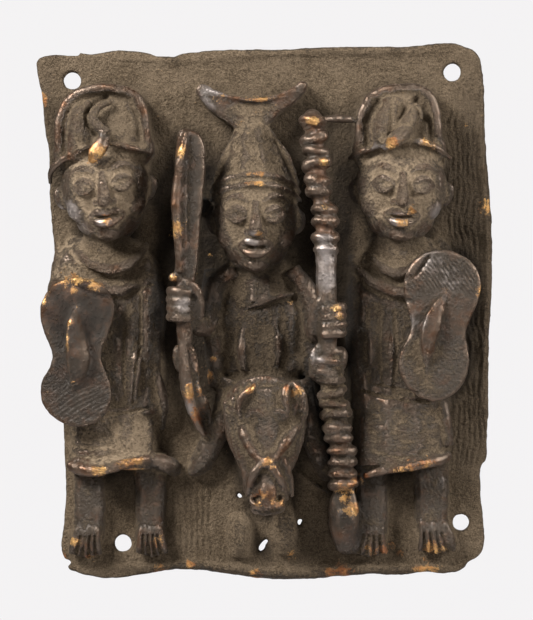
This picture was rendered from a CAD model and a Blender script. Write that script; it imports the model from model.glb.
import math
import bpy
import numpy as np
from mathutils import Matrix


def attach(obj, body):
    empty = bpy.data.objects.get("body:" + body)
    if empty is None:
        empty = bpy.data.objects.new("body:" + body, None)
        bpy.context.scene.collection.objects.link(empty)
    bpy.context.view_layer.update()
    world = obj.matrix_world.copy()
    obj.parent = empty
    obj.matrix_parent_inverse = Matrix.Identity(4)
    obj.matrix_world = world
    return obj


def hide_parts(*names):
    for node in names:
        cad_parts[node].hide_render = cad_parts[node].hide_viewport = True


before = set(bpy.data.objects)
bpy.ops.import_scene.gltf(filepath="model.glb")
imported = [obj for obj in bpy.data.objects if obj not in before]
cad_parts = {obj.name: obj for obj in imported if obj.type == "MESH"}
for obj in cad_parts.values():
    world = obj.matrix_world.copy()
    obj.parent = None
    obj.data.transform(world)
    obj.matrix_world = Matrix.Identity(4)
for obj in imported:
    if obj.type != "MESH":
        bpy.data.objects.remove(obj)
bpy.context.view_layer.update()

# Everything is modelled lying on its back in millimetres: x to the right, y up, z towards the viewer.
# The finished casting is stood up and turned to metres at the end.

castSettings = {
    "voxel": 0.48,   # grid of the joined wax, mm
    "thinEnd": 0.55,                        # ends of an even strand, share of its radius
    "smooth": 0.5,
    "fillPasses": 5,
    "fillStep": 0.5,                        # most that a hollow comes up in one pass, mm
    "triangles": 192000,
    "waxParts": [],
}


def clearSelection():
    if bpy.context.object and bpy.context.object.mode != "OBJECT":
        bpy.ops.object.mode_set(mode="OBJECT")
    bpy.ops.object.select_all(action="DESELECT")


def addWax(piece):
    castSettings["waxParts"].append(piece)
    return piece


def blob(x, y, z, wide, high, deep, roll=0.0):
    clearSelection()
    bpy.ops.mesh.primitive_uv_sphere_add(segments=28, ring_count=18, radius=1, location=(x, y, z),
                                         rotation=(0, 0, roll), scale=(wide, high, deep))
    return addWax(bpy.context.object)


def strand(points, radii, flat=1.0, fine=6, closed=False):
    # a rolled thread of wax; flat squeezes its depth
    clearSelection()
    if not isinstance(radii, (list, tuple)):
        end = radii * castSettings["thinEnd"]
        radii = [end] + [radii] * (len(points) - 2) + [end]
    bpy.ops.curve.primitive_bezier_curve_add(location=(0, 0, 0))
    thread = bpy.context.object
    curve = thread.data
    spline = curve.splines[0]
    spline.bezier_points.add(len(points) - 2)
    for knot, place, radius in zip(spline.bezier_points, points, radii):
        knot.co = (place[0], place[1], place[2] / flat)
        knot.handle_left_type = "AUTO"
        knot.handle_right_type = "AUTO"
        knot.radius = radius
    spline.use_cyclic_u = closed
    curve.bevel_depth = 1
    curve.bevel_resolution = 3
    curve.resolution_u = fine
    curve.use_fill_caps = True
    bpy.ops.object.convert(target="MESH")
    thread = bpy.context.object
    thread.scale = (1, 1, flat)
    return addWax(thread)


def slab(outlines, low, high, edge=0.8):
    # a sheet of wax cut to a smooth outline, with rounded edges; later outlines are holes
    clearSelection()
    bpy.ops.curve.primitive_bezier_circle_add(location=(0, 0, 0))
    sheet = bpy.context.object
    curve = sheet.data
    curve.dimensions = "2D"
    curve.splines.clear()
    for outline in outlines:
        spline = curve.splines.new("BEZIER")
        spline.bezier_points.add(len(outline) - 1)
        for knot, place in zip(spline.bezier_points, outline):
            knot.co = (place[0], place[1], 0)
            knot.handle_left_type = "AUTO"
            knot.handle_right_type = "AUTO"
        spline.use_cyclic_u = True
    curve.fill_mode = "BOTH"
    curve.resolution_u = 8
    curve.extrude = (high - low) / 2 - edge
    curve.bevel_depth = edge
    curve.bevel_resolution = 2
    curve.offset = -edge
    sheet.location.z = (low + high) / 2
    bpy.ops.object.convert(target="MESH")
    return addWax(bpy.context.object)


def strands(table, **finish):
    for entry in table:
        strand(*entry, **finish)


def blobs(table):
    for entry in table:
        blob(*entry)


def ring(x, y, radius, count=12):
    angles = [2 * math.pi * i / count for i in range(count)]
    return [(x + radius * math.cos(angle), y + radius * math.sin(angle)) for angle in angles]


def moved(points, centre, lean=0.0):
    turned = []
    for across, up, *rest in points:
        turned.append((centre[0] + across * math.cos(lean) - up * math.sin(lean),
                       centre[1] + across * math.sin(lean) + up * math.cos(lean), *rest))
    return turned


# Plate

plateSettings = {
    "thickness": 3.5,
    "edge": 1.1,
    "outline": [
        (-85.7, 94.4), (-82.3, 96.0), (-69.9, 95.9), (-59.4, 97.8), (-51.9, 98.1), (-44.4, 97.0),
        (-38.4, 94.8), (-36.1, 94.6), (-33.1, 96.4), (-24.8, 97.8), (-1.5, 98.5), (16.5, 98.9),
        (35.3, 99.5), (56, 99.8), (66.2, 101), (73.7, 100), (79, 97), (81.2, 90.6), (82, 79.3),
        (82.7, 60.5), (84.2, 45.5), (85, 23), (84.6, 0.4), (83.5, -14.7), (83.8, -26), (83.1, -48.5),
        (82.7, -56), (81.2, -57.9), (80.8, -65.4), (81.6, -78.6), (82, -88), (80, -92), (76, -94.4),
        (74.4, -96.6), (68.4, -98.5), (60.9, -98.1), (50.4, -98.9), (39.1, -98.9), (24, -100),
        (9, -100.8), (-1.5, -100.4), (-13.5, -98.9), (-28.6, -97), (-38, -97.4), (-49.3, -99.3),
        (-59.4, -100.4), (-65.4, -99.6), (-71.4, -98.1), (-74.4, -96.3), (-73.4, -94.2), (-75.8, -92.8),
        (-75.2, -71), (-76, -48.5), (-77.4, -20), (-78.6, 11.7), (-80, 26.7), (-81.2, 45.5),
        (-81.6, 60.5), (-83.5, 71.8), (-84.6, 83), (-86.1, 89.9),
    ],
    "nailHoles": [
        # x, y, radius
        (-72.8, 86.7, 3.3), (70.1, 89.9, 3.3), (-53.8, -87.2, 3.2), (73.3, -79.3, 3.1),
    ],
    "flaws": [
        # ragged gaps where the metal did not run
        [(-10.7, -69.2), (-10.0, -68.2), (-9.5, -68.9), (-8.8, -69.7), (-9.4, -70.2), (-10.4, -69.9)],
        [(11.9, -78.6), (12.0, -80.0), (12.7, -80.5), (13.3, -79.3), (13.8, -78.6), (13.3, -77.8),
         (12.4, -78.2)],
        [(-2.8, -89.1), (-2.3, -90.2), (-0.9, -89.6), (-0.1, -87.7), (0.9, -86.1), (0.4, -85.6),
         (-0.9, -86.3), (-2.0, -87.7)],
    ],
    "lips": [
        # thicker edges along the top, right and bottom: path, radius
        ([(-70, 96.2, 2.6), (-40, 94.0, 2.6), (0, 96.5, 2.6), (50, 97.6, 2.8), (72, 97.4, 2.6)], 1.7),
        ([(79.5, 88, 2.8), (81.2, 60, 3), (83.2, 24, 3), (82, -14, 3), (81.6, -46, 2.6)], 1.6),
        ([(-66, -97.6, 2.6), (-30, -95, 3), (8, -98.4, 3.2), (40, -96.6, 3.2), (70, -96, 2.6)], 2.0),
    ],
}


def makePlate():
    holes = [ring(*hole) for hole in plateSettings["nailHoles"]] + plateSettings["flaws"]
    slab([plateSettings["outline"]] + holes, 0, plateSettings["thickness"], plateSettings["edge"])
    strands(plateSettings["lips"])
    print("plate cut with", len(holes), "holes")


# Faces: calm, even features set out from the head's own size

faceSettings = {
    "base": 9.0,          # height of the head's centre above the back
    "depth": 13.0,
    "eyeLevel": 0.14,
    "eyeApart": 0.42,
    "noseTip": -0.17,
    "mouthLevel": -0.47,
    "lipWidth": 0.4,
    "lips": [
        # corner, bow and middle as share of the width, rise and depth; radius at the middle
        ((1, 0.01, 10.6), (0.4, 0.09, 13.2), (0, 0.06, 13.6), 1.4),
        ((0.95, -0.02, 10.4), (0.4, -0.13, 12.8), (0, -0.15, 13.1), 1.8),
    ],
    "lids": [(0.135, 1.5, 1.3), (-0.12, 1.1, 1.05)],   # rise, how far it stands out, radius
}


def makeFace(head):
    x, y, roll = head["x"], head["y"], head["roll"]
    wide, high = head["halfWidth"], head["halfHeight"]
    base, depth = faceSettings["base"], faceSettings["depth"]
    eye, level = faceSettings["eyeApart"], faceSettings["eyeLevel"]
    nose, mouth, lips = faceSettings["noseTip"], faceSettings["mouthLevel"], faceSettings["lipWidth"]

    def at(across, up, out):
        dx, dy = across * wide, up * high
        return (x + dx * math.cos(roll) - dy * math.sin(roll),
                y + dx * math.sin(roll) + dy * math.cos(roll),
                base + out)

    def skin(across, up):
        # how far the rounded head stands out here
        return depth * math.sqrt(max(0.04, 1 - across * across - up * up))

    blob(*at(0, 0.12, 0), wide, high * 0.88, depth, roll)                        # brow and temples
    blob(*at(0, -0.38, -0.4), wide * 0.76, high * 0.62, depth * 0.94, roll)      # jaw
    blob(*at(0, -0.8, 6.2), 5.0, 3.2, 3.9, roll)                                 # chin
    strand([at(0, level + 0.26, 12.4), at(0, level, 13.8), at(0, nose, 16.0)], [1.3, 1.8, 2.6])
    blob(*at(0, nose - 0.02, 15.2), 2.8, 2.0, 2.4, roll)
    for corner, bow, middle, radius in faceSettings["lips"]:
        row = [(-1, corner), (-1, bow), (0, middle), (1, bow), (1, corner)]
        strand([at(side * share * lips, mouth + rise, out) for side, (share, rise, out) in row],
               [0.7, 1.6, radius, 1.6, 0.7])
    for side in (-1, 1):
        blob(*at(side * 0.17, nose - 0.03, 13.0), 1.7, 1.4, 1.7, roll)           # nostril
        blob(*at(side * 0.5, -0.24, 4.6), 6.4, 6.0, 4.9, roll)                   # cheek
        socket = skin(side * eye, level)
        blob(*at(side * eye, level, socket - 1.1), 4.2, 2.4, 2.8, roll)          # eyeball
        for rise, out, radius in faceSettings["lids"]:
            strand([at(side * (eye - 0.25), level - 0.01, skin(side * (eye - 0.25), level) + 0.1),
                    at(side * eye, level + rise, socket + out),
                    at(side * (eye + 0.27), level, skin(side * (eye + 0.25), level) - 0.2)],
                   [0.6, radius, 0.6])
        strand([at(side * 0.14, level + 0.24, 12.0),                             # eyebrow
                at(side * eye, level + 0.37, skin(side * eye, level + 0.37) + 1.0),
                at(side * 0.76, level + 0.24, skin(side * 0.76, level + 0.2) - 0.2)], [0.9, 1.4, 0.6])
        strand([at(side * 0.96, 0.24, 1.2), at(side * 1.06, 0.12, 0.8),          # ear
                at(side * 1.03, -0.08, 0.6), at(side * 0.93, -0.2, 1.4)], [1.0, 1.5, 1.3, 0.9])


# Attendants

attendantSettings = {
    "hatFront": 13.2,
    "shieldFront": 20.0,
    "shieldThickness": 2.3,
    "brimRadius": 1.35,
    "legRadius": 3.7,
    "legSpacing": 1.95,   # between the four strands of a leg
    "toes": 5,
    "toeSpacing": 1.9,    # at the ankle
    "tipSpacing": 2.7,    # at the tips
}

leftAttendant = {
    "head": {"x": -59.8, "y": 44, "roll": 0.12, "halfWidth": 16.8, "halfHeight": 18.6},
    "hatBody": [(-78, 55), (-78.6, 64), (-77.6, 73), (-73.4, 80.4), (-66.4, 84), (-55.2, 84.2),
                (-47.6, 81.6), (-44.6, 76.5), (-43, 67), (-42.6, 57), (-60, 50)],
    "hatRim": [(-76.8, 57, 12), (-77.2, 65, 12.4), (-76.2, 73, 12.6), (-71.8, 79.8, 12.8),
               (-65.2, 82.6, 13), (-55.4, 82.8, 13), (-48.8, 80.2, 13), (-46, 75.4, 12.8),
               (-44.6, 67, 12.6), (-43.8, 59, 12)],
    "hatLobes": [
        ([(-69.6, 56, 15.4), (-69.4, 64, 15.4), (-68.6, 72, 14.4), (-65.4, 77.6, 13)],
         [4.4, 5.6, 5.2, 3.2]),
        ([(-57.4, 77.8, 14.6), (-61.6, 76.0, 16.8), (-63.8, 73.0, 18.4), (-63.2, 69.8, 19.8),
          (-60.8, 67.2, 21), (-58.8, 65, 21.6)], [0.9, 1.7, 2.0, 2.1, 2.1, 2.4]),
    ],
    "brims": [
        [(-80.6, 47.6, 8.5), (-80.2, 52, 11), (-76.4, 55.6, 14.5), (-70.5, 58.6, 18), (-64.6, 61.2, 20)],
        [(-58.2, 62.4, 20), (-51.6, 60.9, 18), (-42.8, 58.8, 12.5)],
    ],
    "pendant": [(-58.8, 66.4, 20.6), (-60.6, 61.6, 22.4), (-62.8, 58, 23.2), (-64.6, 54.8, 22.6)],
    "collars": [
        ([(-72, 27, 4), (-67.6, 19.6, 12), (-58.7, 15.6, 15), (-49.3, 18.4, 13), (-44.6, 25, 5)], 2.5),
        ([(-76, 22, 4), (-71, 13.4, 11), (-62.4, 9.2, 14), (-53, 8.2, 13.6), (-43, 15, 6)], 2.4),
        ([(-72, 8, 11), (-62, 4.6, 13), (-52, 3.8, 12.6), (-44, 8.6, 10)], 1.6),
    ],
    "neck": [(-59.8, 33, 5), (-59.8, 24, 6), (-59.5, 12, 6)],
    "torso": ([(-60, 27, 4), (-60, 18, 4.4), (-60, 6, 4.6), (-59, -12, 4.8), (-57, -30, 4.8),
               (-56.4, -42, 4.8)],
              [12, 20.5, 21.5, 20.5, 19, 17.6], 0.5),
    "flanks": [([(-70.6, 23, 3.5), (-72, 8, 4.2), (-70, -14, 4.4), (-66, -38, 4.4)],
                [6, 10, 10, 9.4], 0.92),
               ([(-47.6, 20, 3.5), (-47, 6, 4.6), (-47.4, -14, 4.8), (-47.4, -38, 4.6)],
                [6, 9.4, 9.6, 9], 0.98)],
    "skirt": ([(-56.4, -36, 5), (-56.6, -48, 5), (-57, -58.5, 5)], [16.6, 17.2, 17.4], 0.62),
    "folds": [
        ([(-77.6, 27, 2), (-77.0, 14, 5), (-76, 0, 6)], 3.0),
        ([(-73.4, 30, 2), (-73, 17, 6.6), (-71.5, 4, 8)], 2.8),
        ([(-48.6, 8, 12), (-50, -6, 12.6), (-50.4, -22, 12.8), (-49.8, -35, 12.4)], 2.2),
        ([(-44.4, 12, 10), (-43.6, -4, 10.4), (-44.6, -20, 10.6)], 2.2),
        ([(-54.6, 4, 12.8), (-55.4, -14, 13.0), (-55, -34, 12.8)], 2.0),
        ([(-41.4, 10, 7), (-40.6, -10, 8), (-40.8, -28, 8)], 1.8),
        ([(-42.4, -20, 9.5), (-40.0, -27, 10), (-38.4, -35, 8.4), (-39.2, -44, 6)], 2.2),
    ],
    "sleeve": ([(-49.4, -13, 13), (-48.4, -18, 14.2), (-48.8, -26, 14.2), (-50.2, -35, 13)],
               [1.0, 2.2, 2.0, 0.9]),
    "hem": ([(-73.2, -57.2, 9), (-68.4, -58.8, 13.2), (-60.5, -58.8, 15), (-51.1, -55.8, 15),
             (-43.4, -55.0, 12)],
            [1.9, 2.4, 2.3, 1.9, 1.7]),
    "flap": ([(-45, -55.4, 11), (-39.6, -56.4, 9.4), (-35.4, -58.2, 7), (-33.6, -60, 4)],
             [2.0, 3.2, 3.4, 2.2]),
    "legs": [
        {"top": (-66.0, -54), "ankle": (-66.6, -82), "toe": (-67.6, -91.4), "fan": -0.1, "broad": 0.94},
        {"top": (-43.4, -53), "ankle": (-43.2, -82), "toe": (-42.8, -91.0), "fan": 0.16, "broad": 0.9},
    ],
    "shield": {
        "centre": (-69.8, -15.2), "lean": 0.0, "arm": (-64, -2),
        "outline": [(0, 27.6), (8.4, 25.6), (13.2, 19.4), (13.4, 12.6), (11.2, 6), (9.0, -1), (10.6, -7.6),
                    (12.5, -13), (12.2, -19.4), (8.4, -25), (1.2, -27.4), (-7.4, -25.2), (-13, -18.4),
                    (-13, -11), (-9.6, -4), (-9.2, -0.5), (-11.8, 6.4), (-13.5, 13), (-12.4, 20),
                    (-8, 25.4)],
        "ridge": ([(0.3, 17.0, 19.4), (-0.6, 12, 20.6), (0.2, 5, 21.4), (1.2, -1.5, 21.6), (0.6, -8, 21),
                   (-1.2, -14.6, 19.4)],
                  [0.6, 2.6, 3.6, 4.0, 2.8, 0.5]),
        "spine": [(0.1, 17.2, 20.4), (-2.6, 10, 22.4), (-3.0, 2, 23.2), (-2.6, -6, 22.4), (-1.2, -15, 20)],
    },
}

rightAttendant = {
    "head": {"x": 50.4, "y": 44, "roll": -0.03, "halfWidth": 17.2, "halfHeight": 18.6},
    "hatBody": [(33.4, 56), (33.2, 66), (34.4, 75), (39.4, 82), (50.4, 84.8), (59.2, 84), (63.6, 78.6),
                (65.2, 68.1), (66.4, 57.5), (50, 50)],
    "hatRim": [(35.0, 59, 12), (34.8, 67, 12.2), (36, 75, 12.4), (41, 80.8, 12.6), (50.4, 83, 13),
               (58.4, 82.2, 13), (62.2, 77.4, 13), (63.8, 68.1, 12.8), (65.2, 60, 12)],
    "hatLobes": [
        ([(44, 60, 17), (43.6, 68, 15.8), (46.4, 75.4, 14), (52, 78.2, 13)], [4.8, 5.6, 4.6, 2.2]),
        ([(50, 62, 18), (52.6, 68, 17), (55.4, 74, 15.4), (53, 78.6, 13.6)], [3.8, 4.0, 3.0, 1.2]),
    ],
    "brims": [
        [(30.8, 56.8, 9.5), (34.8, 59.0, 13.6), (39.6, 60.6, 17), (45, 61.6, 19.8)],
        [(52.0, 63.0, 19.8), (57, 62.8, 18.4), (62.2, 61.2, 15.6), (69.2, 56.8, 9.5)],
    ],
    "pendant": [(43.6, 60.0, 19.8), (46.8, 62.8, 21.6), (50.6, 65.4, 21), (54.2, 67.2, 18.6)],
    "collars": [
        ([(38.4, 24.6, 4), (41.6, 17.4, 12), (48.5, 14.6, 14.6), (55.5, 17.4, 12.8), (60.2, 24, 5)], 2.4),
        ([(32, 20.6, 4), (37.2, 12.8, 11.4), (44.7, 8.6, 14), (54, 7.4, 14.2), (61, 12, 11)], 2.4),
        ([(33.8, 9.6, 10.5), (40, 4.8, 12.6), (47, 3.4, 13), (53, 4, 13)], 1.2),
    ],
    "neck": [(50.2, 33, 5), (49.4, 24, 6.2), (49, 12, 6.2)],
    "torso": ([(50.4, 27, 4), (50.6, 18, 4.4), (51, 6, 4.6), (50.4, -12, 4.8), (49.6, -28, 4.8),
               (49.6, -38, 4.8)],
              [12, 19, 20.6, 20, 18.6, 17.8], 0.5),
    "flanks": [([(39.6, 20, 3.5), (39, 6, 4.4), (39.4, -14, 4.6), (40.2, -36, 4.6)],
                [6, 9.6, 9.6, 9], 0.96),
               ([(62, 22, 3.5), (62.6, 8, 4.4), (61.8, -14, 4.6), (60, -36, 4.6)], [6, 9.6, 9.8, 9], 0.96)],
    "skirt": ([(49.8, -32, 5), (50.2, -44, 5), (50.4, -57, 5)], [17.2, 18.2, 18.6], 0.62),
    "folds": [
        ([(62.6, 29, 2), (66.4, 23, 5), (71, 17, 4)], 2.8),
        ([(59.4, 27, 3), (62.6, 20.6, 7.4), (66, 14, 7)], 2.6),
        ([(35.6, 10, 10), (34.8, -6, 10.6), (35.4, -22, 10.8), (36.6, -33, 9)], 1.8),
        ([(40.4, 2, 12), (40, -10, 12.4), (40.8, -24, 12.4)], 2.0),
        ([(46, -2, 12.8), (46.6, -14, 13.2), (46.2, -30, 12.8)], 2.1),
        ([(31.8, 6, 6.4), (31.4, -8, 7.4), (32, -24, 7)], 1.8),
    ],
    "sleeve": ([(36.6, -2, 12.4), (38.4, -9, 13.4), (38.8, -18, 13.2), (37.4, -25, 11.8)],
               [0.9, 1.7, 1.6, 0.8]),
    "hem": ([(68.4, -53.8, 8), (64.6, -55.2, 12.4), (58, -56.6, 14.8), (50.4, -58.0, 15.4),
             (42.9, -59.4, 14.8), (36.6, -61.4, 11.5)], [1.9, 2.4, 2.2, 1.9, 1.7, 1.2]),
    "flap": ([(64.4, -30, 9), (66.8, -40, 9), (68, -50, 8)], [2.4, 2.6, 2.2]),
    "legs": [
        {"top": (39.6, -57), "ankle": (39.4, -82), "toe": (38.6, -91.2), "fan": 0.14, "broad": 1.06},
        {"top": (61.8, -54), "ankle": (62.4, -80), "toe": (63.8, -90.2), "fan": 0.2, "broad": 1.14},
    ],
    "shield": {
        "centre": (63.6, -5.4), "lean": -0.07, "arm": (60, 6),
        "outline": [(0, 28), (8.6, 26), (14, 19.6), (14.8, 12.6), (12.4, 5.4), (10.4, -1.2), (11.6, -7.6),
                    (12.4, -13.4), (11.2, -19.4), (7.2, -25), (0.2, -27.8), (-7.6, -25.2), (-12.8, -18.4),
                    (-13.2, -11.6), (-10.6, -4.6), (-9.8, -0.6), (-12, 6.4), (-13.6, 13), (-12.4, 20),
                    (-8, 25.6)],
        "ridge": ([(2.2, 12.6, 19.6), (-0.6, 6, 21), (-2.6, -1, 21.6), (-3.4, -8, 21.2), (-2.6, -17, 19.6)],
                  [0.6, 2.6, 3.5, 3.0, 0.5]),
        "spine": [(2.0, 12.8, 20.4), (-2.6, 6.4, 22.6), (-5.2, -0.6, 23.2), (-5.2, -8, 22.4),
                  (-2.8, -17.4, 20)],
    },
}


def makeShield(shield):
    front = attendantSettings["shieldFront"]
    back = front - attendantSettings["shieldThickness"]
    centre, lean = shield["centre"], shield["lean"]
    slab([moved(shield["outline"], centre, lean)], back, front, 0.8)
    leaf, radii = shield["ridge"]
    strand(moved(leaf, centre, lean), radii, 0.62)
    strand(moved(shield["spine"], centre, lean), [0.3, 0.8, 0.9, 0.7, 0.3])
    grip = moved([(-1, 3)], centre, lean)[0]
    strand([(*shield["arm"], 5), (*grip, 12), (centre[0], centre[1], back + 0.5)], [7.5, 6, 4.6])


def makeHat(person):
    head = person["head"]
    slab([person["hatBody"]], 1, attendantSettings["hatFront"], 2.4)
    blob(head["x"] + 0.6, head["y"] + 15, 4.4, 16.4, 22, 13.4)
    strand(person["hatRim"], 1.7)
    strands(person["hatLobes"], flat=0.7)
    for brim in person["brims"]:
        strand(brim, attendantSettings["brimRadius"])
    strand(person["pendant"], [1.4, 3.0, 3.0, 1.1], 0.66)


def makeLeg(leg):
    # a straight flat-fronted column that widens into a foot with pressed toes
    top, ankle, toe, broad = leg["top"], leg["ankle"], leg["toe"], leg["broad"]
    radius = attendantSettings["legRadius"]
    knee = ((top[0] + ankle[0]) / 2, (top[1] + ankle[1]) / 2)
    for step in (-1.5, -0.5, 0.5, 1.5):
        offset = step * attendantSettings["legSpacing"] * broad
        strand([(top[0] + offset, top[1], 4.8), (knee[0] + offset * 0.92, knee[1], 5.2),
                (ankle[0] + offset * 0.96, ankle[1], 5), (toe[0] + offset * 1.2, toe[1] + 5, 4)],
               [radius, radius * 0.95, radius * 0.93, radius * 0.9], 1.08)
    blob(toe[0], toe[1] + 4.8, 3.6, 6.4 * broad, 5.4, 5.6)
    toes = attendantSettings["toes"]
    for i in range(toes):
        spread = i - (toes - 1) / 2
        start = (ankle[0] + spread * attendantSettings["toeSpacing"] * broad, ankle[1] + 1.5)
        middle = (toe[0] + spread * 2.4 * broad + leg["fan"] * 0.5, toe[1] + 4.8)
        tip = (toe[0] + spread * attendantSettings["tipSpacing"] * broad + leg["fan"],
               toe[1] + abs(spread) * 0.5 - 0.2)
        strand([(*start, 8.8), (*middle, 9.2 - abs(spread) * 0.4), (*tip, 6.2)], [0.9, 1.3, 1.35], fine=4)


def makeAttendant(person, name):
    makeFace(person["head"])
    makeHat(person)
    strand(person["neck"], [8.4, 8.6, 10.5], 0.9)
    strands([person["torso"], person["skirt"]] + person["flanks"] + person["collars"] + person["folds"])
    strands([person["sleeve"], person["hem"], person["flap"]])
    for leg in person["legs"]:
        makeLeg(leg)
    makeShield(person["shield"])
    print("attendant", name, "modelled")


# Rider, club and staff

riderSettings = {
    "head": {"x": -3.8, "y": 33.0, "roll": 0.0, "halfWidth": 16.2, "halfHeight": 19},
    "hat": ([(-3.8, 42, 8), (-4.0, 48, 8), (-4.4, 55, 8), (-5.0, 63, 7.8), (-5.6, 70, 7.4), (-6, 75, 7)],
            [16.2, 16.4, 13.2, 9.4, 6.0, 4.4], 0.8),
    "brimRadius": 1.25,
    "hatEdges": [([(-20, 48, 9), (-16.6, 57, 9.5), (-11.4, 66, 10), (-8, 72.4, 10)], 0.9),
                 ([(12.4, 48, 9), (8.4, 57, 9.5), (2.4, 66, 10), (-2.6, 72.4, 10)], 0.9)],
    "brims": [
        [(-20.6, 44.6, 8), (-17.6, 47.6, 13.6), (-10, 50.0, 19.2), (-3.6, 50.6, 20.4), (3, 50.0, 19.2),
         (9.6, 47.4, 14.4), (13, 44.4, 8)],
        [(-20.6, 41.4, 8), (-17.8, 44.0, 13.8), (-10, 46.4, 19.6), (-3.6, 47, 20.8), (3, 46.4, 19.6),
         (9.8, 43.8, 14.4), (13, 41.2, 8)],
    ],
    "crest": [(-6, 65.6), (0.4, 69.4), (6.2, 74.8), (12, 79.2), (14.6, 85.4), (8.6, 82.6), (2.4, 80.4),
              (-7, 79.6), (-17, 81.4), (-25.6, 84), (-22.4, 77), (-17, 72.2), (-11.6, 68.6)],
    "crestRim": [(-24.6, 83, 10), (-20.6, 81.8, 11), (-14, 80, 11.8), (-6, 78.8, 12.2), (2.6, 79.4, 11.8),
                 (9, 82, 11), (13.6, 84.8, 10)],
    "neck": ([(-3.6, 20, 5), (-2.6, 12, 6), (-2, 4, 6)], [8, 8.6, 10], 0.85),
    "torso": ([(-3.0, 18, 4), (-2.0, 10, 4), (-1.2, 0, 4), (-1.2, -14, 4), (-0.6, -30, 4)],
              [11, 15.4, 16.4, 16, 14.5], 0.54),
    "flanks": [([(-10, 14, 4), (-9.6, 0, 4.4), (-9.4, -22, 4)], [5, 8, 7.4], 0.96),
               ([(6.6, 14, 4), (7.2, 0, 4.4), (7.2, -22, 4)], [5, 7.8, 7.4], 0.96)],
    "sash": [(-7.2, 1.6, 12.3), (-2, 3.0, 12.9), (4, 5.2, 12.6), (10.4, 6.6, 11)],
    "folds": [([(-8, -4, 11.6), (-9, -14, 12), (-8, -22, 12)], 1.9),
              ([(3, -2, 11.8), (4.4, -12, 12), (4, -20, 12)], 1.8),
              ([(-12.6, 8, 9), (-14, -4, 9), (-13.4, -18, 9)], 1.8)],
    "arms": [
        ([(-12, 15, 7), (-18.6, 10, 8.4), (-21, 0, 9), (-23, -6, 12), (-28, -2, 19)],
         [4.4, 4.6, 4.2, 3.8, 3.2]),
        ([(9, 15, 7), (14.6, 8, 8.4), (17.4, -2, 9.4), (19, -8, 13), (22, -6, 19)],
         [4.2, 4.4, 4.0, 3.8, 3.2]),
    ],
    "cuffs": [([(-20.4, 16, 6), (-20.0, 2, 7), (-19.2, -12, 7), (-18, -28, 6)], [3, 4.2, 4.2, 3.4]),
              ([(15.0, 10, 6), (16.0, -6, 7), (16.0, -24, 6)], [3, 3.6, 3.0])],
    "legs": [
        ([(-12, -26, 6), (-15.6, -38, 7), (-20.4, -49, 6.6), (-24.6, -57.6, 5)], [6.0, 5.2, 4.6, 4.4]),
        ([(12, -26, 6), (15.4, -40, 7), (19, -51, 6.6), (22.4, -60, 4.6)], [6.0, 5.2, 4.2, 3.2]),
    ],
    "feet": [(-25.2, -58.6, 5.4, 4.4, 3.0, 3.6, 0.5), (22.8, -60.6, 5.0, 3.0, 3.2, 2.8, 0.4)],
}

clubSettings = {
    "blade": [(-31.6, 67), (-27, 66.8), (-23.4, 63.6), (-22.4, 54), (-23.4, 42), (-24.6, 28), (-25.6, 14),
              (-27.4, 9.6), (-32.0, 9.4), (-33.4, 20), (-34.4, 32), (-34.8, 43), (-33.4, 54),
              (-32.8, 62)],
    "front": 23.0, "back": 18.6,
    "edgeRidge": [(-29.2, 66.2, 23.8), (-31.0, 58, 24.6), (-32.8, 45, 24.8), (-32.6, 30, 24.6),
                  (-31.6, 14, 23.8)],
    "mid": [(-28.6, 64, 23.2), (-29.4, 50, 24.0), (-29.6, 34, 24.0), (-29.4, 14, 23.2)],
    "knob": (-34, 12.6, 22.4),
    "hand": (-30.0, 2.6, 20.6),
    "shaft": [(-29.8, 12, 21), (-30.2, -4, 20.6), (-30, -12, 20)],
    "lumps": [(-32.2, -17.4, 17.0, 2.4, 5.2, 2.8, 0.1), (-32.8, -15.2, 17.6, 1.6, 2.2, 2.0, 0.5),
              (-28.0, -20.6, 15.6, 3.2, 9.4, 1.8, 0.1)],
    "tail": ([(-30.2, -8, 20.6), (-30.4, -16, 20.6), (-29.6, -25, 19.2), (-27.6, -35, 16.6),
              (-24.6, -43, 13.4), (-22.8, -46, 11.6)],
             [1.8, 2.2, 2.4, 2.1, 1.7, 1.1]),
    "loop": [(-23.8, -44.6, 11.2), (-22.6, -45.6, 10.8), (-21.4, -43.4, 11), (-21.6, -37, 12.2),
             (-23.2, -31.4, 13.6)],
    "web": ([(-27, -26, 16.2), (-25.4, -33, 14.6), (-23.2, -42, 11.4)], [2.0, 2.3, 1.7]),
    "standOff": ([(-24, 40, 1), (-26, 40.4, 12), (-28.5, 41, 20)], [3.4, 2.4, 2.6]),
}

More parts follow.
